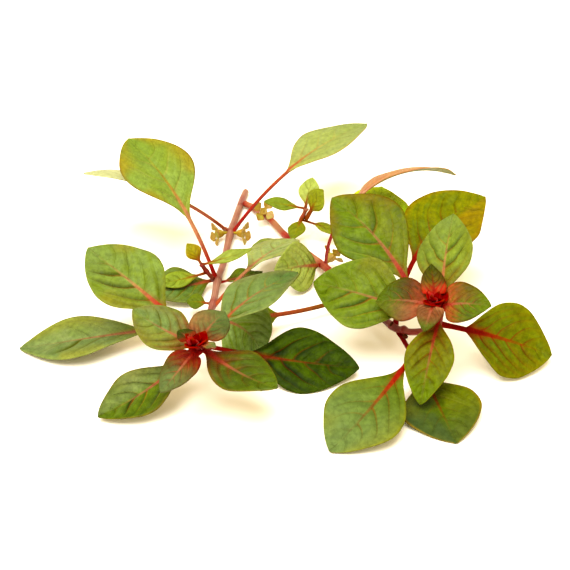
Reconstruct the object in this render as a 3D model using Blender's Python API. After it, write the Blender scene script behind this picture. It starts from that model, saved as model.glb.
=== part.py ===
# Ludwigia repens: a branching cutting of a water plant, laid on a flat surface. Two long stems
# part at a fork near the cut end and turn up into a rosette each, with two short side shoots,
# leaves in opposite pairs and four seed capsules.
#
# Lengths are in millimetres and angles in degrees. +Z is up, and +Y runs from the rosettes
# towards the cut end. A heading is counted from +X towards +Y.

import math

import bmesh
import bpy
from mathutils import Matrix, Vector

MM = 0.001

# The places below are counted from a point beside the cutting. The middle of the whole plant,
# at the height of its lowest leaf, becomes the origin.
PLANT_MIDDLE = (-0.45, 23.5, 0.3)

# Stems
STEM_RADIUS = 1.0
STEM_TIP_RADIUS = 0.7
SHOOT_RADIUS = 0.6
NODE_SWELLING = 0.25        # how much wider a stem is at its nodes
SWELLING_REACH = 0.33       # of the way to the next place
SAMPLES_PER_NODE = 3
JOIN_GAP = 0.3              # clear space between a stem and what grows on it

# Leaves
STALK_WIDTH = 1.3
STALK_THICKNESS = 1.1
STALK_ROUNDING = 0.5        # how much of that its edges lose
RIB_THICKNESS = 0.8         # over the midrib, where the stalk ends
BLADE_THICKNESS = 0.45
EDGE_THICKNESS = 0.3
BASE_TAPER = 1.5            # the higher, the slimmer the blade where it leaves its stalk
TIP_TAPER = 0.78
FOLD_START = 0.25           # the blade's halves are fully raised from this share of its length
FOLD_STEEPNESS = 1.5        # beside the midrib, where a flat half has 1
FOLD_EASING = 0.8           # how much of that steepness is gone at the edge
STALK_ROWS = 2
BLADE_ROWS = 6
COLUMNS = 4
BEND_STEPS = 44

# Buds and seed capsules, as profiles to turn: radius and height of each point
BUD_PROFILE = ((0.0, 0.0), (0.7, 0.2), (1.0, 1.1), (0.7, 2.4), (0.0, 3.8))
CAPSULE_PROFILE = ((0.0, 0.0), (0.5, 0.1), (1.15, 1.3), (1.25, 2.5), (1.15, 3.0), (0.0, 2.6))
TURN_STEPS = 8
CAPSULE_RIM = (2.45, 3.05)  # between these heights, four of its eight corners are sepals
SEPAL_REACH = 2.3
SEPAL_LIFT = 0.5

# Each stem's way from its cut end or fork to its bud. The places named n are its leaf nodes.
STEMS = {
    "left": {
        "cut": (-12.4, 91.0, 1.4),
        "fork": (-13.7, 82.8, 1.6),
        "n1": (-16.2, 62.6, 2.2),
        "bend": (-17.7, 43.2, 2.8),
        "n2": (-19.0, 31.9, 3.2),
        "n3": (-19.6, 16.0, 5.0),
        "n4": (-20.6, 1.2, 8.0),
        "n5": (-20.8, -12.5, 9.5),
        "n6": (-20.6, -18.7, 14.0),
        "n7": (-20.7, -24.9, 17.0),
        "n8": (-21.2, -29.7, 20.0),
        "n9": (-21.6, -32.2, 22.3),
    },
    "right": {
        "fork": (-11.6, 81.0, 1.9),
        "n1": (-8.9, 77.9, 2.1),
        "low bend": (-4.2, 69.9, 2.3),
        "n2": (1.3, 57.4, 2.6),
        "n3": (11.2, 39.4, 3.5),
        "n4": (19.9, 21.3, 4.5),
        "n5": (28.3, 0.9, 7.0),
        "n5b": (31.2, -3.0, 8.15),
        "high bend": (32.8, -5.4, 9.0),
        "n6": (36.8, -9.3, 12.0),
        "n7": (39.1, -10.7, 15.0),
        "n8": (39.4, -11.3, 18.0),
        "n9": (38.4, -12.3, 21.0),
        "n10": (37.6, -13.1, 23.2),
    },
    "left_shoot": {
        "root": (-20.6, 30.9, 4.6),
        "n1": (-22.1, 30.6, 6.9),
        "n2": (-23.3, 30.4, 9.1),
    },
    "back_shoot": {
        "root": (3.0, 59.6, 4.5),
        "n1": (5.0, 60.8, 7.8),
        "n2": (6.3, 60.9, 10.9),
    },
}
SHOOTS = ("left_shoot", "back_shoot")


def plan(
    stem, node, heading, rise, blade, width,
    stalk=0.6, arch=0, sway=0, roll=0, widest=0.5, fold=8, neck=STALK_WIDTH, base=BASE_TAPER,
):
    """One leaf. heading and rise are the way it leaves its node. arch is how far it bends down
    by its tip, and sway how far it turns to its left. roll raises its left half and lowers its
    right one, and fold raises both. widest is where along the blade it is broadest, neck its
    width at the foot, and base how slim it stays there."""
    return {
        "stem": stem, "node": node, "heading": heading, "rise": rise, "blade": blade,
        "width": width, "stalk": stalk, "arch": arch, "sway": sway, "roll": roll,
        "widest": widest, "fold": fold, "neck": neck, "base": base,
    }


LEAVES = {
    # Left stem, from the cut end to the rosette
    "left_leaf_1a": plan("left", "n1", 180, 43.3, 29, 18, stalk=18, arch=33, sway=14, roll=16),
    "left_leaf_1b": plan("left", "n1", 38, 42, 33, 19, stalk=23, arch=42, roll=-8),
    "left_leaf_2a": plan("left", "n2", 126, 54, 33, 23, 17, arch=40, sway=6, widest=0.57),
    "left_leaf_2b": plan("left", "n2", 208, 2, 18, 14, roll=-16),
    "left_leaf_2c": plan("left", "n2", 32, -4, 12, 7),
    "left_leaf_3a": plan("left", "n3", 60, 14, 25, 15, 13, 24, -5, roll=-14, widest=0.6),
    "left_leaf_3b": plan("left", "n3", 172, 4, 5.2, 5.5, arch=8, roll=-15),
    "left_leaf_4a": plan("left", "n4", 185, -5, 35, 19, 14, 7, -7, roll=-3, widest=0.55),
    "left_leaf_4b": plan("left", "n4", 340, 20, 16.5, 16.4, arch=95, roll=45),
    "left_leaf_5a": plan("left", "n5", 146, 29, 30, 20, stalk=11, arch=18, sway=-9, roll=-15),
    "left_leaf_5b": plan("left", "n5", 359, -13, 29, 18, stalk=10, arch=-9, sway=-2, roll=32),
    "left_leaf_6a": plan("left", "n6", 211, -34, 24.5, 15, 6.5, -26, roll=-8, widest=0.53, base=0.9),
    "left_leaf_6b": plan("left", "n6", 45, 31, 27, 16, stalk=4, arch=30, sway=-12, roll=-5),
    "left_leaf_7a": plan("left", "n7", 157, 10, 18, 11.2, arch=-11, sway=-9, roll=-28, neck=2.4, base=1.0),
    "left_leaf_7b": plan("left", "n7", 316, -14, 22, 14, arch=-18, sway=12, roll=6, neck=2, base=1.25),
    "left_leaf_8a": plan("left", "n8", 232, -23, 13, 7, 0.6, 7, -6, -11, 0.43, neck=3, base=0.7),
    "left_leaf_8b": plan("left", "n8", 62, 27, 10.3, 8.4, 0.6, 28, -9, 11, 0.43, neck=3, base=0.55),
    "left_leaf_9a": plan("left", "n9", 141, 21, 3.7, 4, arch=10, widest=0.36, neck=2.4, base=0.7),
    "left_leaf_9b": plan("left", "n9", 335, 15, 3.5, 2.6, arch=20, base=0.8),
    # The side shoot of the left stem's second node
    "left_shoot_leaf_a": plan("left_shoot", "n2", 144, 47, 6, 4.5, arch=6, roll=-20),
    "left_shoot_leaf_b": plan("left_shoot", "n2", 350, 19, 14, 5, arch=-10, roll=10),
    "left_shoot_leaf_c": plan("left_shoot", "n1", 199, -9, 12, 5, 1.5, arch=-12, roll=-30),
    # Right stem, from the fork to the rosette
    "right_leaf_2a": plan("right", "n2", 220, 13, 12, 7, arch=20, roll=10),
    "right_leaf_3a": plan("right", "n3", 230, 23, 18.4, 14, arch=12, sway=-9, roll=-63),
    "right_leaf_3b": plan("right", "n3", 18, 88, 32, 14, 22, 118, -2, -25, widest=0.28, base=1.1),
    "right_leaf_4a": plan("right", "n4", 71, 36, 25.5, 17, 11, 22, 14, roll=10, widest=0.66),
    "right_leaf_4b": plan("right", "n4", 210, -3, 17, 10, stalk=23, arch=-18, sway=-5, roll=-52),
    "right_leaf_5a": plan("right", "n5", 81, 33, 32, 21.4, stalk=19, arch=27, sway=-51, roll=13),
    "right_leaf_5b": plan("right", "n5b", 289, -10.6, 27, 20, 14.3, -5, -7, roll=7, widest=0.56),
    "right_leaf_6a": plan("right", "n6", 116, 42, 33, 20, 12, 29, 22, roll=-27, widest=0.56),
    "right_leaf_6b": plan("right", "n6", 246, -7, 33, 20, 13, 13, -22, roll=-10, widest=0.6),
    "right_leaf_7a": plan("right", "n7", 162, 17, 27, 20, stalk=6, arch=19, sway=-6, roll=-36),
    "right_leaf_7b": plan("right", "n7", 6, -16, 25, 20, 6.5, arch=10, roll=43, base=1.2),
    "right_leaf_8a": plan("right", "n8", 85, 45, 24, 15, stalk=3.5, arch=16, sway=-13, roll=-18),
    "right_leaf_8b": plan("right", "n8", 254, -20, 24, 12, arch=25),
    "right_leaf_9a": plan("right", "n9", 164, 12, 14, 11, 0.6, 31, 7, -36, neck=2.6, base=1.0),
    "right_leaf_9b": plan("right", "n9", 350, 17, 12, 9.6, 0.6, 19, -8, 33, 0.37, neck=3, base=0.6),
    "right_leaf_10a": plan("right", "n10", 92, 32, 9.3, 4.4, 0.6, 12, widest=0.38, neck=3, base=0.5),
    "right_leaf_10b": plan("right", "n10", 250, -8, 8.3, 4.8, 0.6, 30, widest=0.4, neck=3, base=0.5),
    # The side shoot of the right stem's second node
    "back_shoot_leaf_a": plan("back_shoot", "n2", 185, 13, 10.5, 5, stalk=1.2, roll=-16),
    "back_shoot_leaf_b": plan("back_shoot", "n2", 73, 48, 9, 6, arch=16),
    "back_shoot_leaf_c": plan("back_shoot", "n2", 350, 63, 8, 7, roll=45),
    "back_shoot_leaf_d": plan("back_shoot", "n1", 253, -9, 8, 5, arch=17, sway=-6),
    "back_shoot_leaf_e": plan("back_shoot", "n1", 339, -5, 8, 5, stalk=3, arch=23),
}

# Seed capsules: where each sits against its stem, and the heading and rise it points
CAPSULES = {
    "seed_capsule_1": ((-18.0, 60.9, 2.8), 205, 5),
    "seed_capsule_2": ((-14.6, 61.0, 2.7), 340, 8),
    "seed_capsule_3": ((-7.2, 72.6, 3.6), 290, 35),
    "seed_capsule_4": ((12.2, 41.3, 3.8), 50, 25),
}


def clear_scene():
    for thing in list(bpy.data.objects):
        bpy.data.objects.remove(thing)


def finish(name, colour, roughness):
    made = bpy.data.materials.new(name)
    made.use_nodes = True
    shader = made.node_tree.nodes["Principled BSDF"]
    shader.inputs["Base Color"].default_value = (*colour, 1.0)
    shader.inputs["Roughness"].default_value = roughness
    shader.inputs["Metallic"].default_value = 0.0
    return made


def add_object(name, data, material, plant):
    data.materials.append(material)
    made = bpy.data.objects.new(name, data)
    bpy.context.scene.collection.objects.link(made)
    made.parent = plant
    return made


def way(heading, rise):
    h, r = math.radians(heading), math.radians(rise)
    return Vector((math.cos(h) * math.cos(r), math.sin(h) * math.cos(r), math.sin(r)))


def stem_radius(stem, place):
    """The radius at place, counted in named places from the stem's start."""
    names = list(STEMS[stem])
    if stem in SHOOTS:
        plain = SHOOT_RADIUS
    else:
        plain = STEM_RADIUS + (STEM_TIP_RADIUS - STEM_RADIUS) * (place / (len(names) - 1)) ** 2
    if not names[round(place)].startswith("n"):
        return plain
    from_node = abs(place - round(place)) / SWELLING_REACH
    return plain * (1.0 + NODE_SWELLING * max(0.0, 1.0 - from_node))


def smooth_route(nodes):
    """Points along a smooth curve through the nodes, each with its place on the stem."""
    ends = [2 * nodes[0] - nodes[1], *nodes, 2 * nodes[-1] - nodes[-2]]
    route = []
    for i in range(len(nodes) - 1):
        a, b, c, d = ends[i:i + 4]
        for k in range(SAMPLES_PER_NODE):
            t = k / SAMPLES_PER_NODE
            point = b + 0.5 * t * (
                c - a + t * (2 * a - 5 * b + 4 * c - d + t * (3 * (b - c) + d - a))
            )
            route.append((point, i + t))
    route.append((nodes[-1], len(nodes) - 1.0))
    return route


def add_stem(stem, material, plant):
    """A tube along the stem, swollen a little at its nodes."""
    name = stem + "_stem"
    curve = bpy.data.curves.new(name, "CURVE")
    curve.dimensions = "3D"
    curve.bevel_depth = MM
    curve.bevel_resolution = 2
    curve.use_fill_caps = True
    route = smooth_route([Vector(node) for node in STEMS[stem].values()])
    spline = curve.splines.new("POLY")
    spline.points.add(len(route) - 1)
    for knot, (point, place) in zip(spline.points, route):
        knot.co = (*(point * MM), 1.0)
        knot.radius = stem_radius(stem, place)
    return add_object(name, curve, material, plant)


def left_and_up(ahead, roll):
    flat_left = Vector((0.0, 0.0, 1.0)).cross(ahead).normalized()
    left = Matrix.Rotation(math.radians(roll), 3, ahead) @ flat_left
    return left, ahead.cross(left)


def foot(leaf, ahead):
    """Where the leaf leaves its node, its whole end just clear of the stem's skin."""
    names = list(STEMS[leaf["stem"]])
    places = [Vector(place) for place in STEMS[leaf["stem"]].values()]
    i = names.index(leaf["node"])
    along = (places[min(i + 1, len(places) - 1)] - places[i - 1]).normalized()
    outward = (ahead - along * ahead.dot(along)).normalized()
    left, up = left_and_up(ahead, leaf["roll"])
    reach = stem_radius(leaf["stem"], i) + JOIN_GAP
    reach += abs(left.dot(outward)) * leaf["neck"] / 2
    reach += max(0.0, up.dot(outward)) * STALK_THICKNESS
    return places[i] + outward * reach


def midrib(leaf):
    """Points along the leaf from its foot to its tip, each with the way ahead there."""
    def ahead(share):
        return way(leaf["heading"] + leaf["sway"] * share, leaf["rise"] - leaf["arch"] * share)

    step = (leaf["stalk"] + leaf["blade"]) / BEND_STEPS
    rib = [(foot(leaf, ahead(0.0)), ahead(0.0))]
    for k in range(BEND_STEPS):
        point = rib[-1][0] + ahead((k + 0.5) / BEND_STEPS) * step
        rib.append((point, ahead((k + 1) / BEND_STEPS)))
    return rib


def along_blade(leaf, share):
    """How far along its blade a share of the whole leaf reaches, 0 on the stalk."""
    stalk = leaf["stalk"] / (leaf["stalk"] + leaf["blade"])
    return max(0.0, (share - stalk) / (1.0 - stalk))


def half_width(leaf, along):
    """The blade tapers softly into its stalk and more bluntly to its tip."""
    lean = math.log(0.5) / math.log(leaf["widest"])
    taper = leaf["base"] + (TIP_TAPER - leaf["base"]) * along
    bulge = max(0.0, math.sin(math.pi * along ** lean)) ** taper
    return leaf["neck"] / 2 * (1.0 - along) + leaf["width"] / 2 * bulge


def face_point(leaf, rib, share, side):
    """A point of the upper face, side running from -1 at the right edge to 1 at the left."""
    k = min(int(share * BEND_STEPS), BEND_STEPS - 1)
    part = share * BEND_STEPS - k
    point = rib[k][0].lerp(rib[k + 1][0], part)
    ahead = rib[k][1].lerp(rib[k + 1][1], part).normalized()
    left, up = left_and_up(ahead, leaf["roll"])
    along = along_blade(leaf, share)
    half = half_width(leaf, along)
    fold = math.radians(leaf["fold"])
    lift = math.sin(fold) * abs(side) * (FOLD_STEEPNESS - FOLD_EASING * abs(side))
    lift *= min(1.0, along / FOLD_START)
    return point + left * (half * side * math.cos(fold)) + up * (half * lift)


def thickness(leaf, share, side):
    """Thick along the midrib, thin at the edges."""
    along = along_blade(leaf, share)
    if along == 0.0:
        return STALK_THICKNESS * (1.0 - STALK_ROUNDING * side ** 2)
    rib = RIB_THICKNESS + (BLADE_THICKNESS - RIB_THICKNESS) * along
    if abs(side) < 0.5:
        return rib + (BLADE_THICKNESS - rib) * abs(side) * 2
    return BLADE_THICKNESS + (EDGE_THICKNESS - BLADE_THICKNESS) * (abs(side) * 2 - 1)


def add_leaf(name, leaf, material, plant):
    """The stalk and blade as one sheet, bent to the upper face and thickened downwards."""
    rows = STALK_ROWS + BLADE_ROWS
    stalk = leaf["stalk"] / (leaf["stalk"] + leaf["blade"])
    rib = midrib(leaf)
    sheet = bmesh.new()
    bmesh.ops.create_grid(sheet, x_segments=rows, y_segments=COLUMNS, size=0.5)
    weights = sheet.verts.layers.deform.verify()
    for vert in sheet.verts:
        row = round((vert.co.x + 0.5) * rows)
        side = 2 * vert.co.y
        if row <= STALK_ROWS:
            share = stalk * row / STALK_ROWS
        else:
            share = stalk + (1.0 - stalk) * (row - STALK_ROWS) / BLADE_ROWS
        vert[weights][0] = thickness(leaf, share, side) / STALK_THICKNESS
        vert.co = face_point(leaf, rib, share, side) * MM
    bmesh.ops.remove_doubles(sheet, verts=sheet.verts, dist=0.02 * MM)
    mesh = bpy.data.meshes.new(name)
    sheet.to_mesh(mesh)
    sheet.free()
    mesh.shade_smooth()
    made = add_object(name, mesh, material, plant)
    made.vertex_groups.new(name="thickness")
    solid = made.modifiers.new("thickness", "SOLIDIFY")
    solid.thickness = STALK_THICKNESS * MM
    solid.offset = -1.0
    solid.vertex_group = "thickness"
    return made


def turned(profile):
    """A shape turned round +Z from a profile that starts and ends on the axis."""
    shape = bmesh.new()
    corners = [shape.verts.new((radius * MM, 0.0, height * MM)) for radius, height in profile]
    edges = [shape.edges.new(pair) for pair in zip(corners, corners[1:])]
    bmesh.ops.spin(
        shape, geom=corners + edges, cent=(0, 0, 0), axis=(0, 0, 1),
        angle=math.tau, steps=TURN_STEPS, use_merge=True,
    )
    bmesh.ops.remove_doubles(shape, verts=shape.verts, dist=0.02 * MM)
    bmesh.ops.recalc_face_normals(shape, faces=shape.faces)
    return shape


def mesh_from(shape, name):
    mesh = bpy.data.meshes.new(name)
    shape.to_mesh(mesh)
    shape.free()
    mesh.shade_smooth()
    return mesh


def add_bud(name, stem, material, plant):
    """The folded youngest leaves, on the end of the stem."""
    made = add_object(name, mesh_from(turned(BUD_PROFILE), name), material, plant)
    before, last = (Vector(place) for place in list(STEMS[stem].values())[-2:])
    upward = (last - before).normalized()
    made.location = (last + upward * JOIN_GAP) * MM
    made.rotation_euler = upward.to_track_quat("Z", "Y").to_euler()
    return made


def capsule_mesh():
    """A small cup with four pointed sepals round its rim."""
    shape = turned(CAPSULE_PROFILE)
    low, high = (height * MM for height in CAPSULE_RIM)
    for vert in shape.verts:
        quarter = math.atan2(vert.co.y, vert.co.x) / (math.pi / 2)
        on_rim = low < vert.co.z < high and vert.co.xy.length > 0.5 * MM
        if on_rim and abs(quarter - round(quarter)) > 0.4:
            vert.co.x *= SEPAL_REACH
            vert.co.y *= SEPAL_REACH
            vert.co.z += SEPAL_LIFT * MM
    return mesh_from(shape, "seed_capsule")


def add_capsule(name, mesh, place, direction, plant):
    made = bpy.data.objects.new(name, mesh)
    bpy.context.scene.collection.objects.link(made)
    made.parent = plant
    made.location = Vector(place) * MM
    made.rotation_euler = direction.to_track_quat("Z", "Y").to_euler()
    return made


def main():
    clear_scene()
    plant = bpy.data.objects.new("plant", None)
    plant.location = -Vector(PLANT_MIDDLE) * MM
    bpy.context.scene.collection.objects.link(plant)

    leaf_green = finish("leaf_green", (0.20, 0.32, 0.06), 0.5)
    stem_pink = finish("stem_pink", (0.50, 0.16, 0.14), 0.45)
    bud_red = finish("bud_red", (0.30, 0.03, 0.02), 0.45)
    capsule_yellow = finish("capsule_yellow", (0.50, 0.42, 0.10), 0.6)

    for stem in STEMS:
        add_stem(stem, stem_pink, plant)
    for name, leaf in LEAVES.items():
        add_leaf(name, leaf, leaf_green, plant)
    add_bud("left_bud", "left", bud_red, plant)
    add_bud("right_bud", "right", bud_red, plant)
    cup = capsule_mesh()
    cup.materials.append(capsule_yellow)
    for name, (place, heading, rise) in CAPSULES.items():
        add_capsule(name, cup, place, way(heading, rise), plant)


main()
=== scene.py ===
# A forked cutting of Ludwigia repens laid on a pale table: two leaf rosettes, two short side
# shoots and four seed capsules.
# Places are in millimetres from a point beside the cutting, which plantMiddle moves to the
# middle of its outline. A heading is counted from +X towards +Y and a rise above the table,
# both in degrees. The tints are as they look on a screen, 0 to 255.

import functools
import math
import random
from types import SimpleNamespace

import bmesh
import bpy
from mathutils import Matrix, Vector, noise


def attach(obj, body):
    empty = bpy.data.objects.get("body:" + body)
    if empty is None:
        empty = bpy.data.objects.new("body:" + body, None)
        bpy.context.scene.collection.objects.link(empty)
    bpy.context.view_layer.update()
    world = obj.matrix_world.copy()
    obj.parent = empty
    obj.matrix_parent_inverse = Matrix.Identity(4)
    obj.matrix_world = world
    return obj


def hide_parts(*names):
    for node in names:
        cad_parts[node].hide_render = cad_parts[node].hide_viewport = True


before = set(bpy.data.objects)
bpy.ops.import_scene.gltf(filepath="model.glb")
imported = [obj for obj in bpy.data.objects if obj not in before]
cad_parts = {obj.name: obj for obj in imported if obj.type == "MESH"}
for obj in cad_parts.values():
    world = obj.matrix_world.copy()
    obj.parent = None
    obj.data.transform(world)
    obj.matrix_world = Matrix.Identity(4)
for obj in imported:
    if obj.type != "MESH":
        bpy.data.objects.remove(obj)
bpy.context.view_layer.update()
print("frame loaded with", len(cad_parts), "nodes")

mm = 0.001
plantMiddle = Vector((-0.45, 23.5, 0.3))
mergeGap = 0.01 * mm    # points closer than this become one

tints = {
    "paleLime": (236, 232, 170),
    "lime": (196, 204, 100),
    "spring": (166, 182, 62),
    "apple": (144, 162, 48),
    "meadow": (156, 178, 86),
    "leaf": (124, 146, 38),
    "fern": (106, 128, 16),
    "grass": (134, 150, 4),
    "mint": (186, 196, 124),
    "sage": (142, 162, 92),
    "blueGreen": (108, 136, 72),
    "slate": (84, 100, 56),
    "moss": (98, 108, 8),
    "deep": (82, 102, 6),
    "bottle": (56, 70, 2),
    "night": (34, 38, 0),
    "olive": (140, 132, 4),
    "mustard": (178, 168, 18),
    "amber": (198, 150, 26),
    "straw": (224, 192, 100),
    "bronze": (152, 104, 26),
    "umber": (90, 58, 4),
    "rust": (152, 62, 10),
    "brick": (186, 84, 32),
    "cherry": (176, 14, 6),
    "wine": (96, 4, 2),
    "scarlet": (208, 42, 18),
    "coral": (222, 98, 58),
    "salmon": (232, 150, 104),
    "rose": (206, 124, 90),
    "blush": (216, 148, 122),
    "mauve": (192, 100, 92),
}

balance = (0.33, 0.355, 0.33)   # the studio brightens everything and is a little short of green
glare = 0.006                   # the white that the sheen adds


def toLinear(value):
    value /= 255.0
    return value / 12.92 if value <= 0.04045 else ((value + 0.055) / 1.055) ** 2.4


def paint(name, strength=1.0):
    return (*(max(0.0, toLinear(value) * part * strength - glare)
              for value, part in zip(tints[name], balance)), 1.0)


# Nodes for the finishes. Each helper returns the socket that the next one reads.

def newFinish(name, roughness, gloss=0.5):
    made = bpy.data.materials.new(name)
    made.use_nodes = True
    shader = made.node_tree.nodes["Principled BSDF"]
    shader.inputs["Roughness"].default_value = roughness
    shader.inputs["Specular IOR Level"].default_value = gloss
    return made, made.node_tree, shader


def isSocket(value):
    return isinstance(value, bpy.types.NodeSocket)


def plug(value, socket):
    if isSocket(value):
        socket.id_data.links.new(value, socket)
    else:
        socket.default_value = value


def nodeAfter(kind, *values):
    # a new node in the same finish as the values
    tree = next(value.id_data for value in values if isSocket(value))
    return tree.nodes.new("ShaderNode" + kind)


def maths(operation, first, second=0.0):
    node = nodeAfter("Math", first, second)
    node.operation = operation
    plug(first, node.inputs[0])
    plug(second, node.inputs[1])
    return node.outputs[0]


def plus(*values):
    return functools.reduce(lambda total, value: maths("ADD", total, value), values)


def times(*values):
    return functools.reduce(lambda product, value: maths("MULTIPLY", product, value), values)


def slope(value, start, end, atStart=0.0, atEnd=1.0):
    node = nodeAfter("MapRange", value)
    node.interpolation_type = "SMOOTHSTEP"
    for socket, given in zip(node.inputs, (value, start, end, atStart, atEnd)):
        plug(given, socket)
    return node.outputs[0]


def over(below, above, amount, blend="MIX"):
    node = nodeAfter("Mix", below, above, amount)
    node.data_type = "RGBA"
    node.blend_type = blend
    for index, given in ((0, amount), (6, below), (7, above)):
        plug(given, node.inputs[index])
    return node.outputs[2]


def field(tree, name):
    node = tree.nodes.new("ShaderNodeAttribute")
    node.attribute_name = name
    return node.outputs["Fac"]


def objectPlace(tree):
    return tree.nodes.new("ShaderNodeTexCoord").outputs["Object"]


def grain(tree, scale, detail=2.0, distortion=0.0, place=None):
    node = tree.nodes.new("ShaderNodeTexNoise")
    node.inputs["Scale"].default_value = scale
    node.inputs["Detail"].default_value = detail
    node.inputs["Distortion"].default_value = distortion
    plug(objectPlace(tree) if place is None else place, node.inputs["Vector"])
    return node.outputs["Fac"]


def streaks(vein, side, scale):
    # a grain drawn out along the side veins
    place = nodeAfter("CombineXYZ", vein)
    plug(vein, place.inputs[0])
    plug(times(side, 0.35), place.inputs[1])
    return grain(vein.id_data, scale, 3.0, place=place.outputs[0])


def netting(tree, scale):
    # distance to the nearest of the fine veins that part the leaf into small cells
    node = tree.nodes.new("ShaderNodeTexVoronoi")
    node.feature = "DISTANCE_TO_EDGE"
    node.inputs["Scale"].default_value = scale
    plug(objectPlace(tree), node.inputs["Vector"])
    return node.outputs["Distance"]


def dress(shader, colour, height, strength, depth=0.0001):
    # the colour and the bump that every skin has, the bump's depth in metres
    plug(colour, shader.inputs["Base Color"])
    node = nodeAfter("Bump", height)
    node.inputs["Strength"].default_value = strength
    node.inputs["Distance"].default_value = depth
    plug(height, node.inputs["Height"])
    plug(node.outputs["Normal"], shader.inputs["Normal"])


# Stems, each from its cut end or fork to its bud. The places named n are its leaf nodes.

stemRoutes = {
    "left": {
        "cut": (-12.4, 91.0, 1.4),
        "fork": (-13.7, 82.8, 1.6),
        "n1": (-16.2, 62.6, 2.2),
        "bend": (-17.7, 43.2, 2.8),
        "n2": (-19.0, 31.9, 3.2),
        "n3": (-19.6, 16.0, 5.0),
        "n4": (-20.6, 1.2, 8.0),
        "n5": (-20.8, -12.5, 9.5),
        "n6": (-20.6, -18.7, 14.0),
        "n7": (-20.7, -24.9, 17.0),
        "n8": (-21.2, -29.7, 20.0),
        "n9": (-21.6, -32.2, 22.3),
    },
    "right": {
        "fork": (-11.6, 81.0, 1.9),
        "n1": (-8.9, 77.9, 2.1),
        "low bend": (-4.2, 69.9, 2.3),
        "n2": (1.3, 57.4, 2.6),
        "n3": (11.2, 39.4, 3.5),
        "n4": (19.9, 21.3, 4.5),
        "n5": (28.3, 0.9, 7.0),
        "n5b": (31.2, -3.0, 8.15),
        "high bend": (32.8, -5.4, 9.0),
        "n6": (36.8, -9.3, 12.0),
        "n7": (39.1, -10.7, 15.0),
        "n8": (39.4, -11.3, 18.0),
        "n9": (38.4, -12.3, 21.0),
        "n10": (37.6, -13.1, 23.2),
    },
    "left_shoot": {
        "root": (-20.6, 30.9, 4.6),
        "n1": (-22.1, 30.6, 6.9),
        "n2": (-23.3, 30.4, 9.1),
    },
    "back_shoot": {
        "root": (3.0, 59.6, 4.5),
        "n1": (5.0, 60.8, 7.8),
        "n2": (6.3, 60.9, 10.9),
    },
}
shoots = ("left_shoot", "back_shoot")

stemBuild = {
    "radius": 1.0, "tipRadius": 0.7, "shootRadius": 0.6,
    "swelling": 0.25, "swellingReach": 0.33,    # how much wider at a node, and over what share
    "ringStep": 0.5, "segments": 20,
    "aim": 0.01,                                # how far to either side its direction is taken from
    "corners": 0.05, "lines": 12,               # how far its four edges stand out, and its fine lines
    "scar": 0.07, "scarWidth": 0.35,            # the ridge round each node
    "darkFull": 1.2, "darkEnd": 2.2,            # the darker skin around it
}


def nearNode(stem, place):
    # whether the nearest point of the route is a leaf node, not a bend, a fork or a cut end
    return list(stemRoutes[stem])[round(place)].startswith("n")


def stemRadius(stem, place):
    if stem in shoots:
        plain = stemBuild["shootRadius"]
    else:
        thinner = stemBuild["tipRadius"] - stemBuild["radius"]
        plain = stemBuild["radius"] + thinner * (place / (len(stemRoutes[stem]) - 1)) ** 2
    if not nearNode(stem, place):
        return plain
    fromNode = abs(place - round(place)) / stemBuild["swellingReach"]
    return plain * (1.0 + stemBuild["swelling"] * max(0.0, 1.0 - fromNode))


def stemCurve(stem, place):
    # the same smooth curve through the nodes as the solids follow
    nodes = [Vector(node) for node in stemRoutes[stem].values()]
    ends = [2 * nodes[0] - nodes[1], *nodes, 2 * nodes[-1] - nodes[-2]]
    i = min(int(place), len(nodes) - 2)
    t = place - i
    a, b, c, d = ends[i:i + 4]
    return b + 0.5 * t * (c - a + t * (2 * a - 5 * b + 4 * c - d + t * (3 * (b - c) + d - a)))


def stemRing(stem, place):
    # its place on the route, centre and direction, and how far one step of the route goes there
    last = len(stemRoutes[stem]) - 1
    before, after = max(place - stemBuild["aim"], 0.0), min(place + stemBuild["aim"], last)
    ahead = stemCurve(stem, after) - stemCurve(stem, before)
    return place, stemCurve(stem, place), ahead.normalized(), ahead.length / (after - before)


def stemRings(stem):
    rings = []
    place = 0.0
    while place < len(stemRoutes[stem]) - 1:
        *ring, perPlace = stemRing(stem, place)
        rings.append(ring)
        place += stemBuild["ringStep"] / perPlace
    rings.append(stemRing(stem, len(stemRoutes[stem]) - 1)[:3])
    return rings


def ringMatrix(centre, turn, radius):
    return Matrix.LocRotScale((centre - plantMiddle) * mm, turn, Vector((radius * mm,) * 3))


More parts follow.
